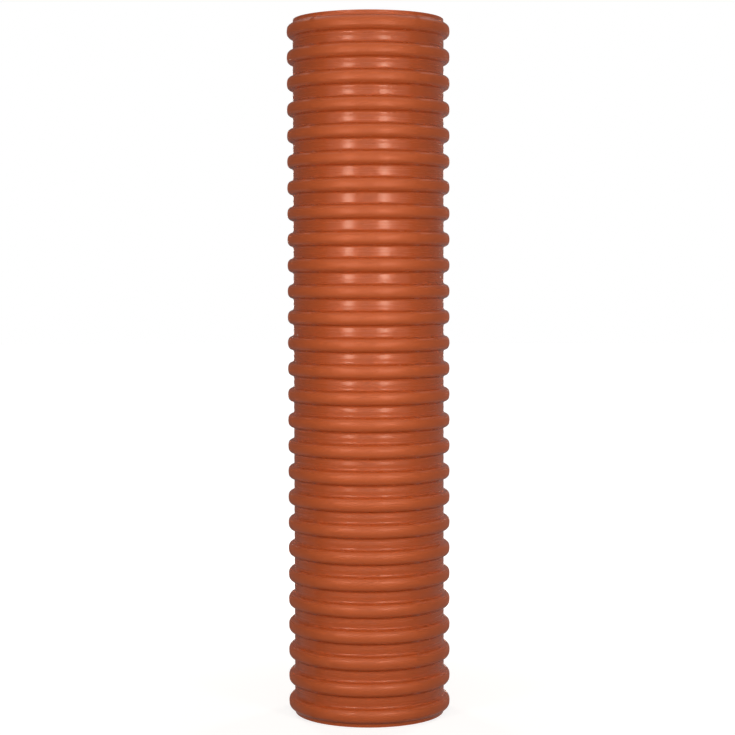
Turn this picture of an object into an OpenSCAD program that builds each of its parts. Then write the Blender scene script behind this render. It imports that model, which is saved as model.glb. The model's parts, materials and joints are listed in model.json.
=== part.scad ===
// Corrugated riser pipe of an inspection chamber, in millimetres.
// One single-wall extrusion: round ribs stand out of a plain tube, and the inside follows the outside.
// It stands on its lower sawn end. +Z is up, and the origin is the centre of that end.

/* [Pipe] */
// Length from the lower sawn end to the upper one
pipe_length = 2000; // [400:10:6000]
// Clear bore, measured inside the valleys
bore_d = 425; // [300:5:800]
// Wall thickness, the same all along the wave
wall = 3.5; // [2:0.5:6]
// Height of the lowest rib's middle over the lower end, and the least from the top rib's middle to the upper end
end_to_rib = 32; // [28:1:60]

/* [Ribs] */
// Distance from one rib to the next
rib_pitch = 74.4; // [60:0.2:120]
// Height of a rib over the valley beside it
rib_height = 18; // [12:0.5:24]
// Width of the flat band along a rib's crest
crest_flat = 10; // [4:1:16]
// Radius of the shoulder on each side of the crest
shoulder_r = 15; // [8:0.5:17]
// Radius of the fillet where a rib's flank runs out into the valley
foot_r = 7; // [4:0.5:9]
// Lean of a flank: how far it runs out along the pipe over 24 mm of height
flank_lean = 7; // [3:0.5:12]

/* [Hidden] */
$fn = 96;

terracotta = "#BF6340";
lean_height = 24;
// Sine and cosine of the flank's angle to the pipe's radius
lean_sin = flank_lean / sqrt(lean_height ^ 2 + flank_lean ^ 2);
lean_cos = lean_height / sqrt(lean_height ^ 2 + flank_lean ^ 2);

bore_r = bore_d / 2;
rib_count = floor((pipe_length - 2 * end_to_rib) / rib_pitch) + 1;
// A shoulder takes at most what the fillet leaves of the flank
shoulder = min(shoulder_r, rib_height / (1 - lean_sin) - foot_r);

// Half section of a rib over a wall face at x = 0, with the pipe's length along y.
// Its flanks touch the shoulders at the upper corners and the foot fillets at the lower ones.
module rib_section(shoulder_radius, foot_radius) {
    crest_y = crest_flat / 2;
    upper = [rib_height - shoulder_radius * (1 - lean_sin), crest_y + shoulder_radius * lean_cos];
    lower_x = foot_radius * (1 - lean_sin);
    lower = [lower_x, upper.y + (upper.x - lower_x) * lean_sin / lean_cos];
    foot_y = lower.y + foot_radius * lean_cos;
    half = [[rib_height, crest_y], upper, lower, [0, foot_y], [-wall, foot_y]];
    difference() {
        polygon(concat(half, [for (i = [len(half) - 1 : -1 : 0]) [half[i].x, -half[i].y]]));
        for (side = [-1, 1])
            translate([foot_radius, side * foot_y]) circle(foot_radius);
    }
    for (side = [-1, 1])
        translate([rib_height - shoulder_radius, side * crest_y]) circle(shoulder_radius);
}

// Half section of the ribbed tube filled down to the axis, running past both ends by overrun
module wave_section(base_r, shoulder_radius, foot_radius, overrun) {
    translate([0, -overrun]) square([base_r, pipe_length + 2 * overrun]);
    for (i = [0 : rib_count - 1])
        translate([base_r, end_to_rib + i * rib_pitch])
            rib_section(shoulder_radius, foot_radius);
}

module riser_pipe() {
    color(terracotta)
        rotate_extrude()
            difference() {
                wave_section(bore_r + wall, shoulder, foot_r, 0);
                // The inner face is the outer one moved in by the wall
                wave_section(bore_r, shoulder - wall, foot_r + wall, wall);
            }
}

riser_pipe();
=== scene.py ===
"""Dresses the riser pipe of an inspection chamber and sets the studio that it stands in.

Lengths are in metres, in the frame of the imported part: +Z is up along the pipe, and the origin is the middle
of its lower sawn end. Azimuths of the studio are in degrees round the pipe from its front, and grow to the
right.
"""

import json
from math import cos, pi, radians, sin

import bpy
import numpy as np
from bpy.props import FloatProperty, FloatVectorProperty, IntProperty, PointerProperty
from mathutils import Matrix, Vector


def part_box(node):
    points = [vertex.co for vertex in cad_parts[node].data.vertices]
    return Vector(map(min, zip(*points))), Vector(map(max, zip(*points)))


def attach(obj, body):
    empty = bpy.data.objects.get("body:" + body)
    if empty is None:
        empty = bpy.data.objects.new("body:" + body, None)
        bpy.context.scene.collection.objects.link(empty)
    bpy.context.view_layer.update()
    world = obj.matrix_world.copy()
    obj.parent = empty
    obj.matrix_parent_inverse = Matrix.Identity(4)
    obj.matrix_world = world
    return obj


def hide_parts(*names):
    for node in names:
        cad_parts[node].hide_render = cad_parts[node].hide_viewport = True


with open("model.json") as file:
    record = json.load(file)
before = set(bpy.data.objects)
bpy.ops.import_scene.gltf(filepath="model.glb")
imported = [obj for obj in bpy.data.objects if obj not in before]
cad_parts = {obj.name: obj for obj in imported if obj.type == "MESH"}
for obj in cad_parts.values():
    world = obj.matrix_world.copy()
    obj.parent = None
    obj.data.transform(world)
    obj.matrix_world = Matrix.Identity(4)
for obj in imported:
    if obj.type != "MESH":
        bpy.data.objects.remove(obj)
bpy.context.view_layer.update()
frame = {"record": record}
PIPE_NODE = "riser_pipe"
PIPE_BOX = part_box(PIPE_NODE)
BORE_R_MM = next(mount["dims"]["r_mm"] for mount in frame["record"]["mounts"] if mount["name"] == "bore")
MM = 0.001
BLACK, WHITE, WARM_WHITE = (0.0, 0.0, 0.0), (1.0, 1.0, 1.0), (1.0, 0.92, 0.82)

# Mesh steps along the arcs of the section, across a valley, and mesh columns across a parting line.
CREST_STEPS, OUTER_STEPS, INNER_STEPS, EDGE_STEPS = 2, 5, 3, 2
VALLEY_STEPS, SEAM_COLUMNS = 7, 5

# Patterns of the plastic, as repeats in a metre along X, Y and Z, and how deep each one is.
CLOUD, STREAK, RUB, GRAIN, SAW = (5, 5, 5), (9, 9, 160), (30, 30, 420), (900, 900, 900), (900, 14, 0)
STREAK_DEPTH, RUB_DEPTH, GRAIN_DEPTH, SAW_DEPTH = 0.020 * MM, 0.030 * MM, 0.012 * MM, 0.120 * MM
RUB_LOW, RUB_HIGH = 0.45, 0.75
# What the patterns do to the plastic's brightness, to its colour on crests and sawn ends, and to its roughness.
PLAIN_VALUE, CLOUD_VALUE, STREAK_VALUE = 0.955, 0.05, 0.04
CREST_COLOUR, RUB_COLOUR, SAWN_COLOUR, SAW_COLOUR = 0.15, 0.45, 0.5, 0.5
CLOUD_ROUGH, STREAK_ROUGH, RUB_ROUGH, SAWN_ROUGH = 0.05, 0.08, 0.06, 0.3
CREST_BAND = 3.5 * MM
SAWN_SHARE = 0.4
PLASTIC_IOR = 1.49

# Lamps: azimuths, beams in degrees, and the share of the pipe's height that they face.
LEFT_LAMP, RIGHT_LAMP, BACK_LEFT_LAMP, BACK_RIGHT_LAMP = -37.0, 35.0, -154.0, 146.0
FRONT_BEAM, FILL_BEAM, OPEN_BEAM = 116.0, 98.0, 180.0
FILL_SPOT, FILL_SIZE = (0, -5.0, 1.5), (2.9, 2.9)
OVERHEAD_SPOT, OVERHEAD_SIZE = (0, -2.25, 8.0), (4.5, 2.2)
AIM_SHARE = 0.555
# Panes that make the highlights: their middles, half their width in degrees, and their share of a lamp's
# height.
PANES, PANE_HALF, PANE_SHARE = (-29.4, 23.3, 156.7, 209.4), 5.2, 0.9
# Dark screens: the side one's azimuths, their outer radius and height, the floor one's inner radius and level,
# and half the width over which the colour runs from left to right.
SIDE_START, SIDE_STOP, SCREEN_R, SCREEN_H = 62, 298, 6.0, 6.0
FLOOR_SCREEN_R, FLOOR_SCREEN_Z = 0.2, 0.001
SCREEN_FADE, SCREEN_COLUMNS = 3.0, 60
# Dark blades that stand up beside the pipe: their azimuths, and where they begin and end past the crests.
LEFT_BLADES, RIGHT_BLADES = (-45, -90, -135, -152), (39, 90, 141, 155)
BLADE_REACH = np.array([[-0.017], [0.041]])
# Floor: half its side, and the glow, which grows from its least near the pipe to white further out: the dimmer
# glow round the base is painted shade.
FLOOR_HALF, FLOOR_ROUGH = 30.0, 0.9
PAINTED_SHADE_NEAR, PAINTED_SHADE_FAR, GLOW_IN_PAINTED_SHADE = 0.4, 2.2, 0.80
# Camera: its place across the pipe, and its tilt down and roll.
CAMERA_X, CAMERA_TILT, CAMERA_ROLL = -0.0037, radians(2.74), -0.0022
SENSOR_W = 36.0

bl_info = {
    "name": "Riser pipe",
    "version": (1, 0, 0),
    "blender": (4, 5, 0),
    "location": "View3D > Sidebar > Riser pipe",
    "description": "Builds a corrugated riser pipe in moulded plastic, and a plain studio around it",
    "category": "Object",
}


def length(name, description, default):
    """A length property, kept in metres and shown in the scene's unit."""
    return FloatProperty(name=name, description=description, default=default, min=0.0, precision=4,
                         subtype="DISTANCE", unit="LENGTH")


def slant(name, description, degrees):
    """An angle property, given in degrees and kept in radians."""
    return FloatProperty(name=name, description=description, default=radians(degrees), subtype="ANGLE",
                         unit="ROTATION")


def colour(name, description, default):
    """A linear colour property."""
    return FloatVectorProperty(name=name, description=description, default=default, size=3, min=0.0, max=1.0,
                               subtype="COLOR")


def share(name, description, default):
    """A number from 0 to 1."""
    return FloatProperty(name=name, description=description, default=default, min=0.0, max=1.0,
                         subtype="FACTOR")


def power(name, description, default):
    """A lamp's power in watts."""
    return FloatProperty(name=name, description=description, default=default, min=0.0, unit="POWER")


class PipeSizes(bpy.types.PropertyGroup):
    """Sizes of the pipe and of its wave."""

    height: length("Length", "Pipe from its lower sawn end to its upper one", PIPE_BOX[1].z - PIPE_BOX[0].z)
    bore_r: length("Bore radius", "Clear radius inside the valleys", BORE_R_MM * MM)
    crest_r: length("Crest radius", "Outer radius over the ribs, inside the packed part's facets",
                    min(abs(side) for corner in PIPE_BOX for side in corner.xy))
    wall: length("Wall", "Thickness of the wall along the wave", 0.0035)
    end_to_rib: length("End to rib", "Lower end to the middle of the lowest rib", 0.032)
    pitch: length("Pitch", "Distance from one rib to the next", 0.0744)
    crest_flat: length("Crest flat", "Width of the gently rounded band along a crest", 0.010)
    crest_turn: slant("Crest turn", "Turn of the rounded crest up to each shoulder", 11.0)
    shoulder_r: length("Shoulder radius", "Radius on each side of a crest", 0.015)
    foot_r: length("Foot radius", "Fillet where a flank runs out into the valley", 0.007)
    lean: slant("Flank lean", "Angle of a flank to the pipe's radius", 16.26)
    sawn_edge: length("Sawn edge", "Radius of the broken edges at both ends", 0.0005)
    crown: length("Valley crown", "Bulge of the wall between two ribs", 0.00045)
    seam_h: length("Seam height", "Height of the mould's two parting lines", 0.0005)
    seam_w: length("Seam width", "Half width of a parting line", 0.0015)
    around: IntProperty(name="Columns", description="Mesh columns between two parting lines", default=31,
                        min=12)


class PipeFinish(bpy.types.PropertyGroup):
    """Colours and gloss of the plastic."""

    plastic: colour("Plastic", "Orange-brown of the pipe", (0.49, 0.099, 0.0265))
    worn: colour("Rubbed plastic", "Paler tone where the crests rub", (0.54, 0.118, 0.036))
    sawn: colour("Sawn plastic", "Dull tone of the sawn ends", (0.53, 0.14, 0.06))
    sheen: colour("Sheen", "Tint of the gloss seen straight on", (1.0, 0.90, 0.84))
    valley_rough: share("Valley roughness", "Roughness of the moulded valleys", 0.27)
    crest_rough: share("Crest roughness", "Roughness of the rubbed crests", 0.42)


class Studio(bpy.types.PropertyGroup):
    """Floor, lamps, screens and camera."""

    floor: colour("Floor", "Pale floor", (0.32, 0.32, 0.32))
    ambient: share("Ambient", "Level of the light from all around", 0.08)
    dark_left: share("Left screen", "Brightness of the dark screen that the left side reflects", 0.15)
    dark_right: share("Right screen", "Brightness of the dark screen that the right side reflects", 0.235)
    dark_floor: share("Floor screen", "Brightness of the dark screen that the undersides reflect", 0.30)
    left_power: power("Left power", "Power of the softbox in front on the left", 21.546)
    right_power: power("Right power", "Power of the softbox in front on the right", 22.743)
    fill_power: power("Fill power", "Power of the wide soft light in front", 13.6)
    top_power: power("Top power", "Power of the overhead softbox", 120.0)
    back_power: power("Back power", "Power of each softbox behind the pipe", 75.0)
    pane: FloatProperty(name="Pane", description="Brightness of a softbox's pane in the gloss", default=15.2,
                        min=0.0)
    lamp_w: length("Lamp width", "Width of a softbox", 0.80)
    lamp_h: length("Lamp height", "Height of a softbox", 1.65)
    lamp_away: length("Lamp distance", "Softbox to the pipe's axis", 4.0)
    lamp_z: length("Lamp level", "Middle of a softbox over the floor", 1.56)
    camera_away: length("Camera distance", "Camera to the pipe's axis", 5.3867)
    camera_z: length("Camera level", "Camera over the floor", 1.2595)
    lens: FloatProperty(name="Lens", description="Focal length in millimetres", default=91.2, min=1.0,
                        unit="CAMERA")


class Shade:
    """A socket of a node tree. Arithmetic on it adds Math nodes, and add() adds any other node."""

    def __init__(self, tree, socket=None):
        self.tree = tree
        self.socket = socket

    def add(self, kind, settings=None, inputs=None, output=0):
        """A node of that type: its settings are set first, then its sockets get their values or links."""
        node = self.tree.nodes.new(kind)
        for name, value in (settings or {}).items():
            setattr(node, name, value)
        for key, value in (inputs or {}).items():
            if isinstance(value, Shade):
                self.tree.links.new(value.socket, node.inputs[key])
            else:
                node.inputs[key].default_value = value
        return Shade(self.tree, node.outputs[output])

    def math(self, operation, first, second=0.0):
        """One step of arithmetic on two values."""
        return self.add("ShaderNodeMath", {"operation": operation}, {0: first, 1: second})

    def __add__(self, other):
        return self.math("ADD", self, other)

    def __radd__(self, other):
        return self.math("ADD", other, self)

    def __sub__(self, other):
        return self.math("SUBTRACT", self, other)

    def __rsub__(self, other):
        return self.math("SUBTRACT", other, self)

    def __mul__(self, other):
        return self.math("MULTIPLY", self, other)

    def __rmul__(self, other):
        return self.math("MULTIPLY", other, self)

    def __gt__(self, other):
        return self.math("GREATER_THAN", self, other)

    def ramp(self, low, high, start=0.0, end=1.0):
        """Smooth step of this value from start at low to end at high."""
        return self.add("ShaderNodeMapRange", {"interpolation_type": "SMOOTHSTEP"},
                        {0: self, 1: low, 2: high, 3: start, 4: end})

    def stretched(self, scale):
        """This vector times a scale for each axis."""
        return self.add("ShaderNodeVectorMath", {"operation": "MULTIPLY"}, {0: self, 1: scale})

    def size(self):
        """Length of this vector."""
        return self.add("ShaderNodeVectorMath", {"operation": "LENGTH"}, {0: self}, output="Value")

    def noise(self, repeats, detail, roughness=0.5):
        """Noise from 0 to 1 over this vector, with a number of repeats in a metre for each axis."""
        return self.add("ShaderNodeTexNoise", None, {
            "Vector": self.stretched(repeats), "Scale": 1.0, "Detail": detail, "Roughness": roughness})

    def blend(self, amount, first, second):
        """Colour that goes from one to another with an amount from 0 to 1. Sockets 0, 6 and 7 of a Mix node are
        its factor and its two colours, and output 2 is the mixed colour."""
        first, second = (tint if isinstance(tint, Shade) else (*tint, 1) for tint in (first, second))
        return self.add("ShaderNodeMix", {"data_type": "RGBA"}, {0: amount, 6: first, 7: second}, output=2)

    def to(self, node, name):
        """Feeds a named input of a node."""
        self.tree.links.new(self.socket, node.inputs[name])


def new_tree(block):
    """Empties the node tree of a material or world, and gives its output node and a Shade to start from."""
    block.use_nodes = True
    tree = block.node_tree
    tree.nodes.clear()
    kind = "ShaderNodeOutputWorld" if isinstance(block, bpy.types.World) else "ShaderNodeOutputMaterial"
    return tree.nodes.new(kind), Shade(tree)


def object_place(shade):
    """The place on the piece, in its own coordinates."""
    return shade.add("ShaderNodeTexCoord", output="Object")


def arc(centre, radius, start, stop, steps):
    """Points and unit directions of an arc in the half plane of radius and height, from one angle to another in
    degrees, both ends included. A negative radius puts the points on the far side, as a hollow fillet needs."""
    angle = np.radians(np.linspace(start, stop, steps + 1))
    facing = np.column_stack([np.cos(angle), np.sin(angle)])
    return np.asarray(centre) + radius * facing, facing


def rib_curve(sizes, rib_h, shoulder, foot, steps):
    """One rib over its wall face, from its lower foot to its upper one, as heights and places along the pipe.

    Upwards from the middle of the crest, a wide arc rounds the crest, a shoulder arc turns on to the flank's
    angle, and a hollow foot arc turns back and runs out into the valley. Each arc is tangent to the one before
    it, the straight flank is the common tangent of the last two, and the lower half is the mirror image.
    """
    ease, turn = np.degrees(sizes.crest_turn), 90.0 - np.degrees(sizes.lean)
    ease_sin, ease_cos = sin(sizes.crest_turn), cos(sizes.crest_turn)
    lean_sin, lean_cos = sin(sizes.lean), cos(sizes.lean)
    flat = sizes.crest_flat / 2
    crest_arc = (flat + shoulder * ease_sin) / ease_sin
    shoulder_h = rib_h - crest_arc * (1 - ease_cos) - shoulder * ease_cos
    drop = shoulder_h + shoulder * lean_sin - foot * (1 - lean_sin)
    foot_z = flat + (shoulder + foot) * lean_cos + drop * lean_sin / lean_cos
    parts = [
        arc((rib_h - crest_arc, 0), crest_arc, 0, ease, CREST_STEPS),
        arc((shoulder_h, flat), shoulder, ease, turn, steps),
        arc((foot, foot_z), -foot, turn, 0, max(INNER_STEPS, steps - 1)),
    ]
    parts[1] = tuple(column[1:] for column in parts[1])
    upper, facing = (np.concatenate(column) for column in zip(*parts))
    flip = np.array([1, -1])
    return np.concatenate([upper[:0:-1] * flip, upper]), np.concatenate([facing[:0:-1] * flip, facing])


def with_valley(sizes, points, facing):
    """A rib's curve with the valley over it, which bulges by a raised cosine of the place between the feet."""
    foot_z = points[-1, 1]
    width = sizes.pitch - 2 * foot_z
    turn = np.linspace(0, 2 * pi, VALLEY_STEPS + 1)[1:-1]
    bulge = np.column_stack([sizes.crown / 2 * (1 - np.cos(turn)), foot_z + width * turn / (2 * pi)])
    tilt = np.column_stack([np.ones_like(turn), -sizes.crown * pi / width * np.sin(turn)])
    tilt /= np.linalg.norm(tilt, axis=1, keepdims=True)
    return np.concatenate([points, bulge]), np.concatenate([facing, tilt])


def wave_curve(sizes, base_r, shoulder, foot, steps, crown=False):
    """All ribs of one face of the wall, from the lowest to the top one: the rib's curve repeated at the pitch,
    with the crowned valleys between them if asked for."""
    rib_h = sizes.crest_r - sizes.bore_r - sizes.wall
    points, facing = rib_curve(sizes, rib_h, shoulder, foot, steps)
    rib_points = len(points)
    if crown:
        points, facing = with_valley(sizes, points, facing)
    count = int((sizes.height - 2 * sizes.end_to_rib) / sizes.pitch) + 1
    middle = sizes.end_to_rib + sizes.pitch * np.arange(count)
    placed = points[None] + np.stack([np.full(count, base_r), middle], axis=1)[:, None]
    placed, facing = placed.reshape(-1, 2), np.tile(facing, (count, 1))
    last = len(placed) - len(points) + rib_points
    return placed[:last], facing[:last]


def wall_section(sizes):
    """The closed section of the wall as radii and heights, the directions it faces, and 1 on its outer wave.

    It runs up the outer wave, over the upper sawn end, down the inner wave and back under the lower end. Small
    arcs break the four sawn edges.
    """
    edge, top = sizes.sawn_edge, sizes.height
    outer_r = sizes.bore_r + sizes.wall
    out_r, in_r = outer_r - edge, sizes.bore_r + edge
    outer = [
        arc((out_r, edge), edge, -90, 0, EDGE_STEPS),
        wave_curve(sizes, outer_r, sizes.shoulder_r, sizes.foot_r, OUTER_STEPS, crown=True),
        arc((out_r, top - edge), edge, 0, 90, EDGE_STEPS),
    ]
    inner_points, inner_facing = wave_curve(
        sizes, sizes.bore_r, sizes.shoulder_r - sizes.wall, sizes.foot_r + sizes.wall, INNER_STEPS)
    inner = [
        arc((in_r, top - edge), edge, 90, 180, EDGE_STEPS),
        (inner_points[::-1], -inner_facing[::-1]),
        arc((in_r, edge), edge, 180, 270, EDGE_STEPS),
    ]
    points, facing = (np.concatenate(column) for column in zip(*outer, *inner))
    place = np.arange(len(points)) - len(outer[0][0])
    outside = (place >= 0) & (place < len(outer[1][0]))
    return points, facing, outside.astype(float)


def column_angles(sizes):
    """Angles of the mesh columns: even ones between the two parting lines, and close ones across each line."""
    across = sizes.seam_w / sizes.crest_r
    seam = across * np.linspace(-1, 1, SEAM_COLUMNS)
    half = np.concatenate([seam, np.linspace(across, pi - across, sizes.around + 2)[1:-1]])
    return np.concatenate([half, half + pi])


def pipe_surface(sizes):
    """Points and normals of the pipe, as arrays of columns by section points.

    The section is carried round the axis. On the outer face the parting lines stand out by a raised cosine of
    the distance from the line, and fade out towards the crests, where handling has worn them down.
    """
    points, facing, outside = wall_section(sizes)
    angle = column_angles(sizes)
    spoke = np.stack([np.cos(angle), np.sin(angle)], axis=1)
    along = np.stack([-np.sin(angle), np.cos(angle)], axis=1)
    offset = (angle + pi / 2) % pi - pi / 2
    phase = np.clip(offset * sizes.crest_r / sizes.seam_w, -1, 1) * pi
    valley_r = sizes.bore_r + sizes.wall
    kept = outside * (1 - np.clip((points[:, 0] - valley_r) / (sizes.crest_r - valley_r), 0, 1) ** 2)
    rise = sizes.seam_h / 2 * (1 + np.cos(phase))[:, None] * kept
    slope = -sizes.seam_h / 2 * np.sin(phase)[:, None] * pi / sizes.seam_w * kept
    radius = points[:, 0] + rise * facing[:, 0]
    level = points[:, 1] + rise * facing[:, 1]
    place = np.concatenate([spoke[:, None] * radius[..., None], level[..., None]], axis=2)
    normal = np.concatenate([
        spoke[:, None] * facing[:, 0][None, :, None] - along[:, None] * slope[..., None],
        np.broadcast_to(facing[:, 1][None, :, None], (*slope.shape, 1)),
    ], axis=2)
    return place, normal / np.linalg.norm(normal, axis=2, keepdims=True)


def ring_mesh(name, place, normal):
    """A mesh of quads over a grid that closes on itself both ways, with the given normals."""
    columns, rows = place.shape[:2]
    index = np.arange(columns * rows).reshape(columns, rows)
    right, above = np.roll(index, -1, axis=0), np.roll(index, -1, axis=1)
    quads = np.stack([index, right, np.roll(right, -1, axis=1), above], axis=2).reshape(-1, 4)
    mesh = bpy.data.meshes.new(name)
    mesh.vertices.add(index.size)
    mesh.vertices.foreach_set("co", place.astype(np.float32).ravel())
    mesh.loops.add(quads.size)
    mesh.loops.foreach_set("vertex_index", quads.astype(np.int32).ravel())
    mesh.polygons.add(len(quads))
    mesh.polygons.foreach_set("loop_start", np.arange(0, quads.size, 4, dtype=np.int32))
    mesh.update(calc_edges=True)
    mesh.validate()
    mesh.shade_smooth()
    mesh.normals_split_custom_set_from_vertices(normal.reshape(-1, 3))
    return mesh


def moulded_plastic(sizes, finish):
    """Orange-brown plastic: glossy in the valleys, rubbed dull and a little paler on the crests, with faint
    drawn streaks round the pipe, a fine moulded grain, and straight saw marks on the two ends."""
    material = bpy.data.materials.new("orange_brown_plastic")
    out, shade = new_tree(material)
    place = object_place(shade)
    level = shade.add("ShaderNodeSeparateXYZ", None, {0: place}, output="Z")
    radius = place.stretched((1, 1, 0)).size()

    middle = sizes.height / 2
    sawn = shade.math("ABSOLUTE", level - middle) > middle - SAWN_SHARE * sizes.sawn_edge
    crest = radius.ramp(sizes.crest_r - CREST_BAND, sizes.crest_r)
    cloud = place.noise(CLOUD, 3.0)
    streak = place.noise(STREAK, 3.0)
    rub = place.noise(RUB, 4.0, 0.6).ramp(RUB_LOW, RUB_HIGH)
    grain = place.noise(GRAIN, 2.0)
    saw = place.noise(SAW, 3.0)

    plain = shade.add("ShaderNodeHueSaturation", None, {
        "Value": PLAIN_VALUE + CLOUD_VALUE * cloud + STREAK_VALUE * streak, "Color": (*finish.plastic, 1)})
    rubbed = shade.blend(crest * (CREST_COLOUR + RUB_COLOUR * rub), plain, finish.worn)
    base = shade.blend(sawn * (SAWN_COLOUR + SAW_COLOUR * saw), rubbed, finish.sawn)
    gloss = finish.valley_rough + (finish.crest_rough - finish.valley_rough) * crest
    worn = RUB_ROUGH * crest * rub + SAWN_ROUGH * sawn
    rough = gloss + CLOUD_ROUGH * (cloud - 0.5) + STREAK_ROUGH * (streak - 0.5) + worn
    relief = GRAIN_DEPTH * grain + STREAK_DEPTH * streak + RUB_DEPTH * crest * rub + SAW_DEPTH * sawn * saw
    bumped = shade.add("ShaderNodeBump", None, {"Strength": 1.0, "Distance": 1.0, "Height": relief})

    shade.add("ShaderNodeBsdfPrincipled", None, {
        "Base Color": base, "Roughness": rough, "Normal": bumped, "IOR": PLASTIC_IOR,
        "Specular Tint": (*finish.sheen, 1),
    }).to(out, "Surface")
    return material


def swept(start, stop):
    """A column of angles from one azimuth to another."""
    return np.radians(np.linspace(start, stop, SCREEN_COLUMNS))[:, None]


def seen_directly(shade):
    """1 for rays from the camera, by way of gloss or glass too, and 0 for light that falls on things."""
    camera, gloss, glass = (shade.add("ShaderNodeLightPath", output=name)
                            for name in ("Is Camera Ray", "Is Glossy Ray", "Is Transmission Ray"))
    return shade.math("MAXIMUM", shade.math("MAXIMUM", camera, gloss), glass)


class RISER_OT_pipe(bpy.types.Operator):
    """Build the pipe: the wave of its wall carried round the axis, with its parting lines and sawn ends"""

    bl_idname = "riser.pipe"
    bl_label = "Riser pipe"
    bl_options = {"REGISTER", "UNDO"}

    def execute(self, context):
        sizes, finish = context.scene.pipe_sizes, context.scene.pipe_finish
        place, normal = pipe_surface(sizes)
        piece = bpy.data.objects.new("riser_pipe_wall", ring_mesh("riser_pipe_wall", place, normal))
        context.scene.collection.objects.link(piece)
        piece.data.materials.append(moulded_plastic(sizes, finish))
        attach(piece, "root")
        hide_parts(PIPE_NODE)
        return {"FINISHED"}


class RISER_OT_studio(bpy.types.Operator):
    """Set the pale floor, the white surround, the softboxes, what the gloss reflects, and the camera"""

    bl_idname = "riser.studio"
    bl_label = "Studio"
    bl_options = {"REGISTER", "UNDO"}

    def execute(self, context):
        studio = context.scene.studio
        self.lay_floor(context, studio)
        self.set_surround(context, studio)
        self.hang_softboxes(context, studio)
        self.hang_screens(context, studio)
        self.place_camera(context, studio)
        context.scene.view_settings.view_transform = "Standard"
        return {"FINISHED"}

    @staticmethod
    def lay_floor(context, studio):
        """A wide pale floor that the camera sees close to white, with the pipe's soft shadow from the lamps on
        it, and painted shade where its glow dims near the pipe.
        """
        mesh = bpy.data.meshes.new("floor")
        corner = np.array([(-1, -1, 0), (1, -1, 0), (1, 1, 0), (-1, 1, 0)]) * FLOOR_HALF
        mesh.from_pydata(corner.tolist(), [], [(0, 1, 2, 3)])
        floor = bpy.data.objects.new("floor", mesh)
        context.scene.collection.objects.link(floor)
        material = bpy.data.materials.new("pale_floor")
        out, shade = new_tree(material)
        # Painted shade: the glow that the camera sees is dimmer near the pipe, so the floor darkens round its
        # base.
        glow_with_painted_shade = seen_directly(shade) * object_place(shade).size().ramp(PAINTED_SHADE_NEAR, PAINTED_SHADE_FAR, GLOW_IN_PAINTED_SHADE, 1.0)
        shade.add("ShaderNodeBsdfPrincipled", None, {
            "Base Color": (*studio.floor, 1), "Roughness": FLOOR_ROUGH, "Emission Strength": 1.0,
            "Emission Color": shade.blend(glow_with_painted_shade, BLACK, WHITE),
        }).to(out, "Surface")
        mesh.materials.append(material)

    @staticmethod
    def set_surround(context, studio):
        """A white surround for what is seen, which lights the pipe at the ambient level only."""
        world = bpy.data.worlds.new("surround")
        context.scene.world = world
        out, shade = new_tree(world)
        level = shade.blend(seen_directly(shade), (studio.ambient,) * 3, WHITE)
        shade.add("ShaderNodeBackground", None, {"Color": level, "Strength": 1.0}).to(out, "Surface")

    def hang_softboxes(self, context, studio):
        """Two softboxes in front and two behind, a wide fill in front and a softbox overhead."""
        for name, azimuth, watts, beam in (
            ("softbox_left", LEFT_LAMP, studio.left_power, FRONT_BEAM),
            ("softbox_right", RIGHT_LAMP, studio.right_power, FRONT_BEAM),
            ("softbox_back_left", BACK_LEFT_LAMP, studio.back_power, OPEN_BEAM),
            ("softbox_back_right", BACK_RIGHT_LAMP, studio.back_power, OPEN_BEAM),
        ):
            spot = Vector((sin(radians(azimuth)), -cos(radians(azimuth)), 0)) * studio.lamp_away
            spot.z = studio.lamp_z
            self.hang_softbox(context, name, spot, (studio.lamp_w, studio.lamp_h), watts, beam)
        self.hang_softbox(context, "fill", Vector(FILL_SPOT), FILL_SIZE, studio.fill_power, FILL_BEAM)
        self.hang_softbox(context, "softbox_over", Vector(OVERHEAD_SPOT), OVERHEAD_SIZE, studio.top_power,
                          OPEN_BEAM)

    @staticmethod
    def hang_softbox(context, name, spot, size, watts, beam):
        """An oval lamp at a spot, facing the pipe, which lights its colour but isn't seen in its gloss."""
        light = bpy.data.lights.new(name, "AREA")
        light.shape, light.size, light.size_y, light.energy = "ELLIPSE", *size, watts
        light.color, light.spread = WARM_WHITE, radians(beam)
        lamp = bpy.data.objects.new(name, light)
        context.scene.collection.objects.link(lamp)
        view = Vector((0, 0, AIM_SHARE * PIPE_BOX[1].z)) - spot
        lamp.matrix_world = Matrix.Translation(spot) @ view.to_track_quat("-Z", "Y").to_matrix().to_4x4()
        lamp.visible_camera = lamp.visible_glossy = False

    def hang_screens(self, context, studio):
        """What the gloss reflects: dark screens at the sides and on the floor, bright panes for the highlights,
        and dark blades close to the pipe, which keep the panes from whitening its outline."""
        levels = (studio.dark_left, studio.dark_right, studio.dark_floor)
        left, right, ground = ((level,) * 3 for level in levels)
        self.hang_screen(context, "side_screen", swept(SIDE_START, SIDE_STOP), [SCREEN_R] * 2, [0.0, SCREEN_H],
                         left, right)
        self.hang_screen(context, "floor_screen", swept(0, 360), [FLOOR_SCREEN_R, SCREEN_R],
                         [FLOOR_SCREEN_Z] * 2, ground, ground)
        half = PANE_SHARE * studio.lamp_h / 2
        for azimuth in PANES:
            self.hang_screen(context, "pane", swept(azimuth - PANE_HALF, azimuth + PANE_HALF),
                             [studio.lamp_away] * 2, [studio.lamp_z - half, studio.lamp_z + half],
                             WARM_WHITE, WARM_WHITE, studio.pane)
        for blades, dark in ((LEFT_BLADES, left), (RIGHT_BLADES, right)):
            for azimuth in blades:
                self.hang_screen(context, "blade", radians(azimuth), BLADE_REACH + PIPE_BOX[1].x,
                                 [0.0, PIPE_BOX[1].z], dark, dark)

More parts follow.
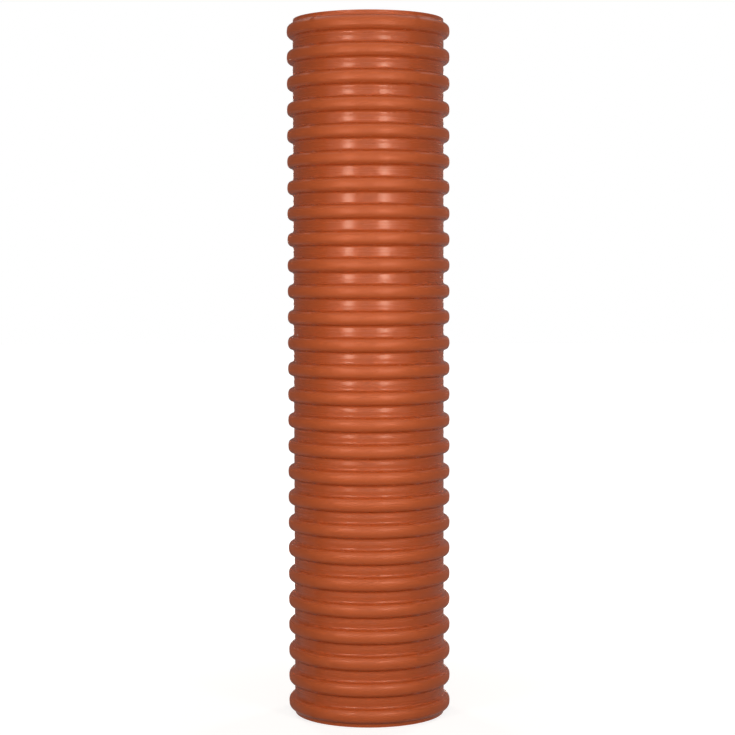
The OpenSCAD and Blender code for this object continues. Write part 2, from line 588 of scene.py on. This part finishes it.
    @staticmethod
    def hang_screen(context, name, angle, away, level, left, right, strength=1.0):
        """A screen that is seen in the gloss only, over a grid of angles from the front, distances from the
        pipe's axis and levels, with a colour that runs from left to right."""
        place = np.stack(np.broadcast_arrays(np.sin(angle) * away, -np.cos(angle) * away, level), axis=2)
        index = np.arange(place.size // 3).reshape(place.shape[:2])
        quads = np.stack([index[:-1, :-1], index[1:, :-1], index[1:, 1:], index[:-1, 1:]], axis=2)
        mesh = bpy.data.meshes.new(name)
        mesh.from_pydata(place.reshape(-1, 3).tolist(), [], quads.reshape(-1, 4).tolist())
        screen = bpy.data.objects.new(name, mesh)
        context.scene.collection.objects.link(screen)
        screen.visible_camera = screen.visible_diffuse = False
        screen.visible_shadow = screen.visible_transmission = False
        material = bpy.data.materials.new(name)
        material.cycles.emission_sampling = "NONE"
        out, shade = new_tree(material)
        across = shade.add("ShaderNodeSeparateXYZ", None, {0: object_place(shade)}, output="X")
        glow = shade.blend(across.ramp(-SCREEN_FADE, SCREEN_FADE), left, right)
        shade.add("ShaderNodeEmission", None, {"Color": glow, "Strength": strength}).to(out, "Surface")
        mesh.materials.append(material)

    @staticmethod
    def place_camera(context, studio):
        """The photograph's view: a little above mid height, tilted down and turned a hair about its axis."""
        data = bpy.data.cameras.new("camera")
        data.sensor_width, data.lens = SENSOR_W, studio.lens
        camera = bpy.data.objects.new("camera", data)
        context.scene.collection.objects.link(camera)
        camera.matrix_world = (
            Matrix.Translation((CAMERA_X, -studio.camera_away, studio.camera_z))
            @ Matrix.Rotation(pi / 2 - CAMERA_TILT, 4, "X")
            @ Matrix.Rotation(CAMERA_ROLL, 4, "Z")
        )
        context.scene.camera = camera


class RISER_PT_panel(bpy.types.Panel):
    """The pipe's sizes and finish, the studio, and the steps that build them"""

    bl_idname = "RISER_PT_panel"
    bl_label = "Riser pipe"
    bl_space_type = "VIEW_3D"
    bl_region_type = "UI"
    bl_category = "Riser pipe"

    def draw(self, context):
        steps = (("riser.pipe", "pipe_sizes"), ("riser.pipe", "pipe_finish"), ("riser.studio", "studio"))
        for step, group in steps:
            box = self.layout.box()
            settings = getattr(context.scene, group)
            for name in settings.__annotations__:
                box.prop(settings, name)
            box.operator(step)


CLASSES = (PipeSizes, PipeFinish, Studio, RISER_OT_pipe, RISER_OT_studio, RISER_PT_panel)
GROUPS = {"pipe_sizes": PipeSizes, "pipe_finish": PipeFinish, "studio": Studio}


def register():
    for cls in CLASSES:
        bpy.utils.register_class(cls)
    for name, group in GROUPS.items():
        setattr(bpy.types.Scene, name, PointerProperty(type=group))


def unregister():
    for name in GROUPS:
        delattr(bpy.types.Scene, name)
    for cls in reversed(CLASSES):
        bpy.utils.unregister_class(cls)


def main():
    register()
    bpy.ops.riser.pipe()
    bpy.ops.riser.studio()


if __name__ == "__main__":
    main()
